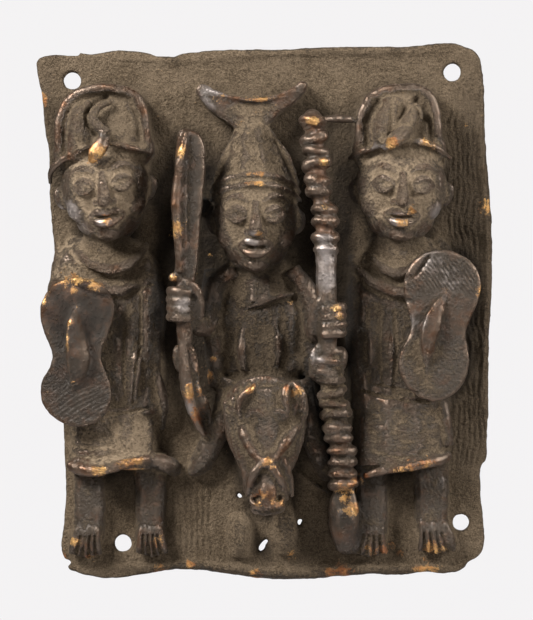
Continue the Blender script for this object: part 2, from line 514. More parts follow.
staffSettings = {
    "coils": [
        # path, radius of the core, radius of the wire, turns, slant of a turn
        ([(17.4, 71.0, 20.2), (18.2, 60, 21.4), (19.4, 48, 22), (21.4, 34, 22.6), (22.0, 23.5, 22.6)],
         3.1, 1.75, 9.0, -1.3),
        ([(23.8, -24.5, 17), (25.6, -36, 15.4), (27.6, -50, 13.4), (29.0, -66, 11.4)],
         3.9, 1.45, 9.5, -0.9),
    ],
    "knob": (17.0, 70.0, 20.4, 4.0, 4.8, 3.8),
    "shaft": ([(21.8, 26, 22.6), (22.3, 12, 22.6), (22.6, -6, 21.4), (22.8, -16, 20)],
              [4.0, 3.9, 3.6, 3.4]),
    "collar": [(22.0, 23.6, 22.6), (22.0, 22.0, 22.6)],
    "hand": (22.8, -3.4, 21),
    "lumps": [(21.6, -19, 18, 6.0, 5.4, 4.8, 0.4), (26.6, -18, 17, 3.6, 5.2, 3.8, -0.3),
              (19.2, -22.6, 17.8, 3.4, 3.2, 3.4, 0)],
    "fist": [([(16.8, -14.6, 17), (20.6, -14.4, 21.6), (25.2, -14.8, 21.4), (29, -15.4, 17.6)],
              [1.1, 1.6, 1.5, 1.0]),
             ([(16.2, -17.8, 18), (19.6, -18, 22), (24.4, -18.6, 22), (29, -18.8, 17.6)],
              [1.1, 1.7, 1.5, 1.0]),
             ([(16.4, -21.6, 18), (19.8, -22, 21.6), (24.4, -22.4, 21), (28.4, -22.6, 17)],
              [1.0, 1.6, 1.5, 1.0]),
             ([(19.4, -12.4, 21), (17.4, -16.6, 21.8), (18.2, -22.8, 21.4)], [1.0, 1.3, 0.9])],
    "leaf": ([(28.8, -65, 10.6), (28.8, -72, 9.6), (29.4, -80, 8), (30.4, -88, 6.4), (30.8, -90, 5.6)],
             [3.4, 5.6, 6.0, 4.2, 2.0]),
    "leafRidge": ([(31.6, -65, 12), (32.6, -74, 12.4), (32.8, -82, 10.4), (30.6, -88.6, 8)],
                  [1.2, 1.9, 1.5, 0.6]),
    "strut": [(17.4, 70.6, 19), (24, 71.4, 15.5), (30, 71.4, 13), (35, 71, 12.4)],
    "flash": [(10.6, -59.4, 4.6), (16, -63.4, 4.4), (23.6, -68.2, 5.4)],
}


def makeHand(centre, side):
    # four stacked fingers round a shaft, side is where the knuckles are
    x, y, z = centre
    blob(x - side * 1.4, y - 0.6, z - 1.6, 5.4, 7.0, 4.4)
    for i in range(4):
        level = y + 4.9 - i * 3.15
        reach = 0.5 if i in (0, 3) else 0
        strand([(x + side * (5.8 - reach), level + 0.2, z - 2.6), (x + side * 5.2, level, z + 1.2),
                (x + side * 1.6, level - 0.4, z + 4.4), (x - side * 2.4, level - 0.9, z + 4.0)],
               [1.3, 1.75, 1.65, 1.2], fine=5)
    strand([(x - side * 5.2, y - 4.8, z - 1.2), (x - side * 5.4, y + 1.6, z + 0.8),
            (x - side * 3.6, y + 6.6, z + 2.8), (x - side * 0.8, y + 8.2, z + 3.6)],
           [2.0, 2.1, 1.6, 1.1], fine=5)


def makeCoil(path, core, wire, turns, slant):
    # a hand-wound wire round a core
    strand(path, [core] * len(path))
    spots = np.array(path, float)
    reach = np.concatenate([[0], np.cumsum(np.linalg.norm(np.diff(spots, axis=0), axis=1))])
    count = int(turns * 9)
    radius = core + 0.35 * wire
    points, radii = [], []
    for i in range(count + 1):
        share = i / count
        x, y, z = [np.interp(share * reach[-1], reach, spots[:, k]) for k in range(3)]
        angle = share * turns * 2 * math.pi + 1.0 * math.sin(share * turns * 2.9) + 0.7 * math.sin(share * 23)
        points.append((x + radius * math.cos(angle), y + slant * math.cos(angle),
                       z + radius * math.sin(angle)))
        radii.append(wire * (1 + 0.26 * math.sin(i * 0.83) + 0.16 * math.sin(i * 2.1)))
    strand(points, radii, fine=3)


def makeRider():
    makeFace(riderSettings["head"])
    strand(*riderSettings["hat"])
    strands(riderSettings["hatEdges"])
    for brim in riderSettings["brims"]:
        strand(brim, riderSettings["brimRadius"])
    slab([riderSettings["crest"]], 1, 11.4, 1.4)
    strand(riderSettings["crestRim"], 1.0)
    strand(*riderSettings["neck"])
    strands([riderSettings["torso"]] + riderSettings["flanks"])
    strand(riderSettings["sash"], 0.9)
    for part in ("folds", "arms", "cuffs", "legs"):
        strands(riderSettings[part])
    blobs(riderSettings["feet"])
    print("rider modelled")


def makeClub():
    slab([clubSettings["blade"]], clubSettings["back"], clubSettings["front"], 1.2)
    strand(clubSettings["edgeRidge"], [1.0, 1.7, 2.0, 1.8, 1.2])
    strand(clubSettings["mid"], 0.7)
    blob(*clubSettings["knob"], 1.9, 1.7, 1.9)
    strand(clubSettings["shaft"], [3.2, 3.0, 2.8])
    blobs(clubSettings["lumps"])
    strand(*clubSettings["tail"])
    strand(clubSettings["loop"], 1.2)
    strand(*clubSettings["web"], 0.6)
    strand(*clubSettings["standOff"])
    makeHand(clubSettings["hand"], -1)
    print("club modelled")


def makeStaff():
    for coil in staffSettings["coils"]:
        makeCoil(*coil)
    blob(*staffSettings["knob"])
    strand(*staffSettings["shaft"])
    strand(staffSettings["collar"], [4.8, 4.8])
    blobs(staffSettings["lumps"])
    strands(staffSettings["fist"], fine=4)
    strand(*staffSettings["leaf"], 0.6)
    strand(*staffSettings["leafRidge"])
    strand(staffSettings["strut"], 1.5)
    strand(staffSettings["flash"], 0.6)
    makeHand(staffSettings["hand"], 1)
    print("staff modelled")


# Horse, seen head-on

horseSettings = {
    "skull": ([(-0.6, -27, 14.5), (-0.6, -31, 15), (-0.4, -37, 15.6), (-0.2, -46, 16.6), (0.4, -57, 17.8),
               (0.9, -66, 18.6), (1, -73, 18.8)],
              [10.5, 14.2, 15.4, 13.4, 9.8, 7.6, 5.0], 0.55),
    "neck": ([(-0.4, -27, 4), (-0.4, -36, 4), (0, -56, 4), (0.5, -71, 4)], [13, 15.4, 11.6, 7.2], 0.9),
    "forehead": [(-0.4, -34, 12, 15.2, 10.4, 10.4, 0)],
    "muzzle": [(0.7, -65.4, 19.6, 6.5, 9.0, 5.0, 0), (0.9, -71.8, 20.6, 6.2, 3.6, 4.4, 0),
               (0.4, -57.5, 20.8, 6, 5, 3.8, 0), (-2.6, -72.2, 22.6, 3.0, 2.4, 2.6, 0.3),
               (4.2, -72.0, 22.6, 3.0, 2.4, 2.6, -0.3)],
    "nose": [([(0.2, -56, 23.6), (0.5, -62, 24.4), (0.6, -67, 24.8), (0.8, -71, 24.2)],
              [2.0, 2.4, 3.2, 2.6]),
             ([(-0.6, -30, 20.2), (-0.2, -40, 21.6), (0.2, -48, 22.8), (0.4, -54, 23.8)],
              [6.4, 6.4, 4.4, 2.4]),
             ([(-8.6, -26.8, 20.0), (-1, -25.4, 20.8), (7.4, -26.6, 20.0)], [1.0, 1.8, 1.0])],
    "nostrils": [([(-5.4, -67.6, 21.8), (-5.2, -70.0, 23.6), (-3.4, -71.2, 24.8), (-1.8, -69.8, 25.6)],
                  [0.5, 0.8, 0.9, 0.6]),
                 ([(2.8, -69.6, 25.6), (4.2, -71.0, 24.8), (5.9, -69.6, 23.4), (6.3, -67.2, 21.8)],
                  [0.6, 0.9, 0.8, 0.5])],
    "cheeks": [([(-13.2, -33, 15), (-11.8, -46, 17), (-7.6, -58, 19)], [3.2, 3.0, 2.2]),
               ([(12.4, -33, 15), (11.4, -46, 17), (8.2, -58, 19)], [3.2, 3.0, 2.2])],
    "ears": [
        ([(-3.2, -27.0, 20.6), (-6.2, -29.2, 23.2), (-9.0, -31.6, 23.6), (-10.2, -35.6, 22.8),
          (-9.0, -40, 21.4)], [0.9, 1.5, 1.5, 1.3, 0.7]),
        ([(-3.0, -28, 20.8), (-3.0, -32.6, 22.2), (-4.4, -36.6, 22.8), (-7.4, -40, 21.8)],
         [0.5, 0.9, 0.9, 0.5]),
        ([(8.8, -26.0, 20.8), (7.2, -28.8, 23.0), (7.0, -32.6, 23.8), (8.2, -37, 23.0)],
         [0.9, 1.5, 1.5, 0.7]),
        ([(9.4, -25.8, 20.6), (12.6, -29.0, 22), (14.0, -33.6, 21.4), (13.8, -38.4, 20.2),
          (11.6, -41.8, 20)], [1.0, 1.6, 1.7, 1.5, 0.8]),
    ],
    "earLeaves": [(-6.4, -34.0, 20.8, 3.6, 5.8, 2.0, 0.2), (10.6, -33.0, 20.4, 3.4, 6.6, 2.0, -0.1)],
    "eyes": [(-4.2, -39.8, 21.9, 3.4, 2.3, 1.9, 0.1), (5.0, -38.8, 22.2, 2.8, 1.8, 1.8, -0.3)],
    "brows": [([(-8.2, -40, 21.6), (-6.4, -37.8, 23.0), (-3.6, -36.4, 23.8), (-0.6, -38.8, 23.4)],
               [0.6, 1.0, 1.0, 0.6]),
              ([(1.8, -38.4, 23.4), (5.0, -36.6, 23.8), (8.2, -38.8, 22.6)], [0.6, 1.1, 0.6])],
    "bridle": [
        ([(-10.0, -40.2, 19.8), (-8.6, -44, 21.6), (-6.2, -49, 23.2), (-2.4, -54.6, 25.0)],
         [1.2, 2.1, 2.1, 1.5]),
        ([(12.8, -40.6, 18.8), (9.9, -44.6, 21.2), (6.3, -49.4, 23.2), (2.8, -54.8, 25.2)],
         [1.3, 2.2, 2.2, 1.5]),
        ([(-1.8, -56.2, 25.8), (-4.4, -59.4, 24.8), (-6.0, -63.4, 22.4), (-6.9, -68, 19.2)],
         [1.3, 1.6, 1.5, 0.9]),
        ([(2.2, -57.0, 25.8), (4.8, -60.8, 24.8), (6.6, -65, 22.2), (7.7, -69.6, 19.2)],
         [1.3, 1.6, 1.5, 0.9]),
        ([(-8.4, -52, 19.2), (-7.9, -59, 19.8), (-7.6, -67, 18.2)], [0.8, 1.4, 0.8]),
        ([(5.6, -53.4, 22.4), (7.8, -58, 20.8), (9.2, -63, 19.2), (9.4, -68.5, 17.8)],
         [0.9, 1.5, 1.4, 0.8]),
    ],
    "knot": [(0.2, -55.6, 25.4, 3.0, 2.4, 1.9, 0.2), (2.6, -57.6, 25.6, 1.8, 1.6, 1.5, 0),
             (-2.0, -54.4, 25.2, 1.4, 1.5, 1.4, 0)],
    "forelegs": [([(-9.4, -76, 3), (-9.8, -80, 4), (-9.8, -86, 3.6), (-9.8, -91.6, 2)],
                  [3.6, 4.9, 5.2, 4.0]),
                 ([(4.4, -64, 3), (6.4, -74, 4), (7.4, -84, 4.4), (7.6, -90.6, 2)], [4.6, 4.5, 4.8, 3.8])],
}


def makeHorse():
    strands([horseSettings["skull"], horseSettings["neck"]])
    for part in ("forehead", "muzzle", "earLeaves", "eyes", "knot"):
        blobs(horseSettings[part])
    strands(horseSettings["nose"], flat=0.5)
    for part in ("cheeks", "ears", "brows", "bridle", "nostrils", "forelegs"):
        strands(horseSettings[part])
    print("horse modelled")


# Joining and thinning

def applyModifier(piece, kind, **values):
    bpy.context.view_layer.objects.active = piece
    modifier = piece.modifiers.new(kind.title(), kind)
    for key, value in values.items():
        setattr(modifier, key, value)
    bpy.ops.object.modifier_apply(modifier=modifier.name)


def joinWax():
    clearSelection()
    for part in castSettings["waxParts"]:
        part.select_set(True)
    bpy.context.view_layer.objects.active = castSettings["waxParts"][0]
    bpy.ops.object.join()
    piece = bpy.context.object
    piece.name = "reliefCasting"
    piece.data.name = "reliefCasting"
    bpy.ops.object.transform_apply(location=True, rotation=True, scale=True)
    applyModifier(piece, "REMESH", mode="VOXEL", voxel_size=castSettings["voxel"])
    print("wax joined:", len(piece.data.vertices), "points")
    return piece


def readPoints(piece):
    points = np.empty(len(piece.data.vertices) * 3)
    piece.data.vertices.foreach_get("co", points)
    return points.reshape(-1, 3)


def writePoints(piece, points):
    piece.data.vertices.foreach_set("co", points.ravel())
    piece.data.update()


def readNormals(piece):
    normals = np.empty(len(piece.data.vertices) * 3, np.float32)
    piece.data.vertex_normals.foreach_get("vector", normals)
    return normals.reshape(-1, 3).astype(float)


def readEdges(piece):
    edges = np.empty(len(piece.data.edges) * 2, np.int32)
    piece.data.edges.foreach_get("vertices", edges)
    return edges.reshape(-1, 2)


def averaged(values, edges, passes):
    # each pass takes every point to the mean of its neighbours
    count = np.maximum(np.bincount(edges.ravel(), minlength=len(values)), 1)
    for _ in range(passes):
        if values.ndim == 1:
            total = np.bincount(edges[:, 0], values[edges[:, 1]], len(values))
            total += np.bincount(edges[:, 1], values[edges[:, 0]], len(values))
            values = 0.5 * values + 0.5 * total / count
        else:
            values = np.stack([averaged(values[:, k], edges, 1) for k in range(values.shape[1])], axis=1)
    return values


def ramp(values, low, high):
    share = np.clip((values - low) / (high - low), 0, 1)
    return share * share * (3 - 2 * share)


def inside(points, outline, grow=0.0):
    # which points lie within a closed outline, seen from the front
    within = np.zeros(len(points), bool)
    corners = np.array(outline, float)[:, :2]
    middle = corners.mean(axis=0)
    corners = middle + (corners - middle) * (1 + grow)
    for (ax, ay), (bx, by) in zip(corners, np.roll(corners, -1, axis=0)):
        crosses = (ay > points[:, 1]) != (by > points[:, 1])
        edge = (bx - ax) * (points[:, 1] - ay) / (by - ay + 1e-9) + ax
        within ^= crosses & (points[:, 0] < edge)
    return within


def lineDistance(points, line):
    # distance in the plane of the plate from each point to a line of spots
    best = np.full(len(points), 1e9)
    spots = np.array(line, float)[:, :2]
    for start, end in zip(spots[:-1], spots[1:]):
        along = end - start
        share = np.clip(((points[:, :2] - start) @ along) / max(along @ along, 1e-9), 0, 1)
        gap = points[:, :2] - start - share[:, None] * along
        best = np.minimum(best, np.hypot(gap[:, 0], gap[:, 1]))
    return best


def fillHollows(piece):
    # wax and grime settle in the corners: hollows come up towards the average, ridges stay
    points = readPoints(piece)
    edges = readEdges(piece)
    for _ in range(castSettings["fillPasses"]):
        calm = averaged(points, edges, 5)
        normals = readNormals(piece)
        rise = np.einsum("ij,ij->i", calm - points, normals)
        lift = np.clip(rise, 0, castSettings["fillStep"]) * ramp(points[:, 2], 1.5, 3.5)
        points = points + normals * lift[:, None]
        writePoints(piece, points)
    print("hollows filled")


carveSettings = {
    "cuts": [
        # path, half width, depth, lowest height it reaches
        ([(-59.4, 79.4), (-63.8, 77.6), (-66.6, 73.4), (-66.2, 68.8), (-63.4, 65.6)], 0.9, 1.5, 9),
        ([(-74.8, 59), (-74.6, 66), (-73, 74), (-67, 79.6), (-58, 80.4), (-51, 78.6), (-48, 73),
          (-47, 64)], 1.1, 0.9, 9),
        ([(37.8, 62), (37.8, 71), (41.6, 77.4)], 1.4, 1.2, 9),
        ([(56, 78), (58.4, 73), (56.6, 66)], 1.8, 1.8, 9),
        ([(47, 78.4), (46.4, 71), (45.6, 65)], 0.9, 0.7, 9),
        ([(61.4, 63), (61, 70), (59.6, 76)], 1.1, 1.1, 9),
        ([(-7.6, 63.2), (-5.2, 58.4), (-2.0, 54.6)], 0.7, 0.5, 9),
        ([(-7.4, 63), (-3.0, 59.4), (-2.0, 54.6)], 0.7, 0.4, 9),
        ([(-46.6, -14), (-48.6, -22), (-49.6, -34)], 0.7, 0.9, 9),
        ([(-52.6, -6), (-53.0, -20), (-52.6, -32)], 0.7, 0.7, 9),
        ([(-46.6, 6), (-46.4, -8), (-46.8, -12)], 0.8, 0.8, 9),
        ([(-44, -36), (-52, -37.6), (-60, -38.6)], 0.8, 0.7, 9),
        ([(42.8, 0), (42.4, -14), (43.2, -30)], 0.8, 0.45, 9),
        ([(47.6, 0), (48.4, -14), (47.4, -30)], 1.0, 0.4, 9),
        ([(38, 0), (37.2, -14), (38.8, -30)], 1.1, 0.5, 9),
        ([(36, -29.6), (44, -31.6), (52, -33), (60, -33.4)], 0.8, 0.9, 9),
        ([(40, -27), (48, -28.4), (56, -30)], 0.6, 0.6, 9),
        ([(-7.6, 0.2), (-1, 1.6), (6, 4.0), (11, 5.2)], 0.7, 0.6, 8),
        ([(-3.6, -69.4), (-2.6, -68.6)], 0.9, 1.1, 18), ([(4.2, -69.2), (5.0, -68.4)], 0.9, 1.1, 18),
        ([(-4.4, -73.4), (-1, -74.2), (2.6, -73.4), (6, -73)], 0.7, 0.9, 16),
        ([(-73, 22), (-67, 15.6), (-58.7, 11.8), (-49.6, 14.6), (-44, 21)], 0.9, 0.8, 5),
        ([(-75, 15), (-70, 9.2), (-62, 5.6), (-52.6, 4.8), (-43, 10)], 0.9, 0.7, 5),
        ([(38, 20), (42, 13.4), (48.5, 10.8), (55.5, 13.4), (60, 20)], 0.9, 0.8, 5),
        ([(33, 14.6), (37.6, 8.8), (45, 5), (54, 3.8)], 0.9, 0.7, 5),
        ([(-74.6, -49.6), (-66, -51), (-58, -50)], 0.7, 0.5, 7),
        ([(-74, -45.4), (-66, -46.8), (-60, -46)], 0.7, 0.4, 7),
        ([(-72, -53.6), (-64, -54.8), (-56, -53)], 0.7, 0.5, 7),
        ([(40, -52), (50, -54.4), (60, -52.4)], 0.8, 0.5, 7),
    ],
    "toeGroove": {"halfWidth": 0.9, "depth": 0.9, "lowest": 4},
    "mane": {
        "centre": (0.4, -42), "halfWidth": 15.5, "inner": 9.5, "outer": 22,
        "rays": 15, "rayDepth": 0.42, "sideDepth": 0.34, "sidePitch": 1.7, "sideSlope": 0.22,
    },
    "hatches": [
        # whose shield, a spot on one line, slope, pitch, depth, bottom and top
        ("left", (-70, -28), 0.5, 1.5, 0.24, (-46, -18)),
        ("left", (-70, -28), -0.75, 1.9, 0.07, (-46, -16)),
        ("left", (-69, 4), 1.2, 2.4, 0.1, (-10, 16)),
        ("right", (66, 12), -0.95, 1.35, 0.4, (4, 24)),
        ("right", (62, -22), 0.5, 2.2, 0.1, (-36, -4)),
    ],
    "combed": [
        # upright wavy lines in the ground: left and right, bottom and top, pitch, depth, waviness
        ((66, 86), (-60, 84), 2.1, 0.6, 1.3),
        ((-35, -19), (-94, -60), 2.3, 0.6, 0.9),
        ((-18, -8), (-95, -74), 2.6, 0.2, 0.8),
        ((-40, -33), (-40, 60), 2.2, 0.16, 0.8),
    ],
    "areaEdge": 2.5,      # how softly an area of lines fades at its edge
    "rows": [
        # level wavy lines on the ground and the skirts, as above
        ((-60, 50), (87, 98), 1.7, 0.2, 0.7),
        ((-74, -58), (-57, -40), 3.0, 0.4, 0.5),
        ((-58, -40), (-56, -41), 3.4, 0.14, 0.6),
        ((34, 66), (-56, -35), 3.2, 0.2, 0.6),
        ((-20, 10), (-100, -92), 2.0, 0.16, 0.7),
    ],
}


def wavy(points, seed, size):
    # soft repeatable waviness made from a few crossed sines
    x, y = points[:, 0] / size, points[:, 1] / size
    return (np.sin(1.7 * x + 2.3 * y + seed) + np.sin(3.1 * x - 1.3 * y + 2.1 * seed) * 0.6
            + np.sin(0.9 * x - 3.7 * y + 3.3 * seed) * 0.5) / 2.1


def pressCuts(depth, points):
    for line, width, cut, lowest in carveSettings["cuts"]:
        near = ramp(-lineDistance(points, line), -width * 1.5, -width * 0.2)
        depth += cut * near * (points[:, 2] > lowest)


def pressToes(depth, points):
    groove = carveSettings["toeGroove"]
    for leg in leftAttendant["legs"] + rightAttendant["legs"]:
        for i in range(attendantSettings["toes"] - 1):
            spread = i + 0.5 - (attendantSettings["toes"] - 1) / 2
            start = leg["ankle"][0] + spread * attendantSettings["toeSpacing"] * leg["broad"]
            tip = leg["toe"][0] + spread * attendantSettings["tipSpacing"] * leg["broad"] + leg["fan"]
            line = [(start, leg["toe"][1] + 7.4), (tip, leg["toe"][1] - 1.5)]
            near = ramp(-lineDistance(points, line), -groove["halfWidth"], -0.15)
            depth += groove["depth"] * near * (points[:, 2] > groove["lowest"])


def pressHatches(depth, points):
    owners = {"left": leftAttendant, "right": rightAttendant}
    for owner, centre, slope, pitch, cut, (low, high) in carveSettings["hatches"]:
        shield = owners[owner]["shield"]
        outline = moved(shield["outline"], shield["centre"], shield["lean"])
        across = (points[:, 0] - centre[0]) * math.sin(slope) - (points[:, 1] - centre[1]) * math.cos(slope)
        across = across + 0.5 * wavy(points, 4.0, 7.0)
        line = 0.5 + 0.5 * np.cos(2 * math.pi * across / pitch)
        area = inside(points, outline, -0.05) & (points[:, 2] > 19)
        fade = ramp(points[:, 1], low, low + 6) * ramp(-points[:, 1], -high, -high + 6)
        depth += cut * line ** 2 * area * fade


def pressRows(depth, points):
    height, edge = points[:, 2], carveSettings["areaEdge"]
    for table, axis in (("combed", 0), ("rows", 1)):
        for (left, right), (low, high), pitch, cut, wave in carveSettings[table]:
            area = ramp(points[:, 0], left, left + edge) * ramp(-points[:, 0], -right, -right + edge)
            area *= ramp(points[:, 1], low, low + edge) * ramp(-points[:, 1], -high, -high + edge)
            across = points[:, axis] + wave * wavy(points, 2.0 + axis, 11.0) + 0.35 * wavy(points, 5.0, 3.1)
            strength = 0.65 + 0.35 * wavy(points, 7.0, 5.0)
            onPlate = table == "combed" or low > 80 or high < -90
            level = height < 5.2 if onPlate else height > 8
            depth += cut * strength * (0.5 + 0.5 * np.cos(2 * math.pi * across / pitch)) ** 2 * area * level


def pressMane(depth, points):
    # rays round the top of the horse's head and slanting hairs down its sides
    mane = carveSettings["mane"]
    height = points[:, 2]
    dx, dy = points[:, 0] - mane["centre"][0], points[:, 1] - mane["centre"][1]
    angle, reach = np.arctan2(dx, dy), np.hypot(dx, dy)
    onHorse = np.abs(dx) < mane["halfWidth"]
    rays = (0.5 + 0.5 * np.cos(angle * mane["rays"] * 2)) ** 2
    band = ramp(reach, mane["inner"], 12) * ramp(-reach, -mane["outer"], -mane["outer"] + 3)
    crown = ramp(np.cos(angle), -0.1, 0.35)
    crown = crown * (height > 11) * (height < 22) * (points[:, 1] < -21) * onHorse
    depth += mane["rayDepth"] * rays * band * crown
    sides = ramp(np.abs(dx), 9.6, 10.6) * (points[:, 1] < -32) * (points[:, 1] > -60)
    sides = sides * (height > 9) * onHorse
    across = dx - np.sign(dx) * dy * mane["sideSlope"]
    depth += mane["sideDepth"] * sides * (0.5 + 0.5 * np.cos(across * 2 * math.pi / mane["sidePitch"])) ** 2


def carve(piece):
    points = readPoints(piece)
    normals = readNormals(piece)
    facing = ramp(normals[:, 2], 0.05, 0.5)
    depth = np.zeros(len(points))
    for press in (pressCuts, pressToes, pressHatches, pressRows, pressMane):
        press(depth, points)
    points -= normals * (depth * facing)[:, None]
    writePoints(piece, points)
    print("lines pressed into the wax")


roughSettings = {
    "clouds": [(11.0, 2, 0.8), (4.2, 2, 0.5), (1.7, 1, 0.22)],   # size, depth of detail, strength
    "pitSize": 2.6, "pitTurbulence": 6, "pitDepth": 0.2,
    "faceCalm": 0.6,      # share of the roughness kept off the faces
    "backFlat": 0.45,     # whatever is nearer the back than this lies dead flat, mm
    "weightSteps": 10,
}


def displace(piece, texture, strength):
    applyModifier(piece, "DISPLACE", texture=texture, strength=strength, mid_level=0.5,
                  vertex_group="front", texture_coords="LOCAL")


def roughen(piece):
    # hand-made unevenness and casting texture, on everything but the flat back
    group = piece.vertex_groups.new(name="front")
    points = readPoints(piece)
    weight = ramp(points[:, 2], 0.3, 2.2)
    for head in (leftAttendant["head"], rightAttendant["head"], riderSettings["head"]):
        dx, dy = points[:, 0] - head["x"], points[:, 1] - head["y"]
        gap = np.hypot(dx / head["halfWidth"], dy / head["halfHeight"])
        weight = weight * (1 - roughSettings["faceCalm"] * ramp(-gap, -1.0, -0.8))
    steps = roughSettings["weightSteps"]
    for step in range(1, steps + 1):
        members = np.flatnonzero(np.round(weight * steps) == step)
        group.add(members.tolist(), step / steps, "REPLACE")
    for size, detail, strength in roughSettings["clouds"]:
        cloud = bpy.data.textures.new("unevenness", "CLOUDS")
        cloud.noise_scale = size
        cloud.noise_depth = detail
        displace(piece, cloud, strength)
    pits = bpy.data.textures.new("pits", "STUCCI")
    pits.noise_scale = roughSettings["pitSize"]
    pits.turbulence = roughSettings["pitTurbulence"]
    displace(piece, pits, roughSettings["pitDepth"])
    points = readPoints(piece)
    points[:, 2] = np.where(points[:, 2] < roughSettings["backFlat"], 0, points[:, 2])
    writePoints(piece, points)
    piece.vertex_groups.clear()
    print("surface roughened")


def thin(piece):
    applyModifier(piece, "TRIANGULATE", min_vertices=4)
    ratio = castSettings["triangles"] / len(piece.data.polygons)
    if ratio < 1:
        applyModifier(piece, "DECIMATE", decimate_type="COLLAPSE", ratio=ratio)
    print("casting thinned to", len(piece.data.polygons), "triangles")


# Age of the surface, kept on the mesh for the metal's material

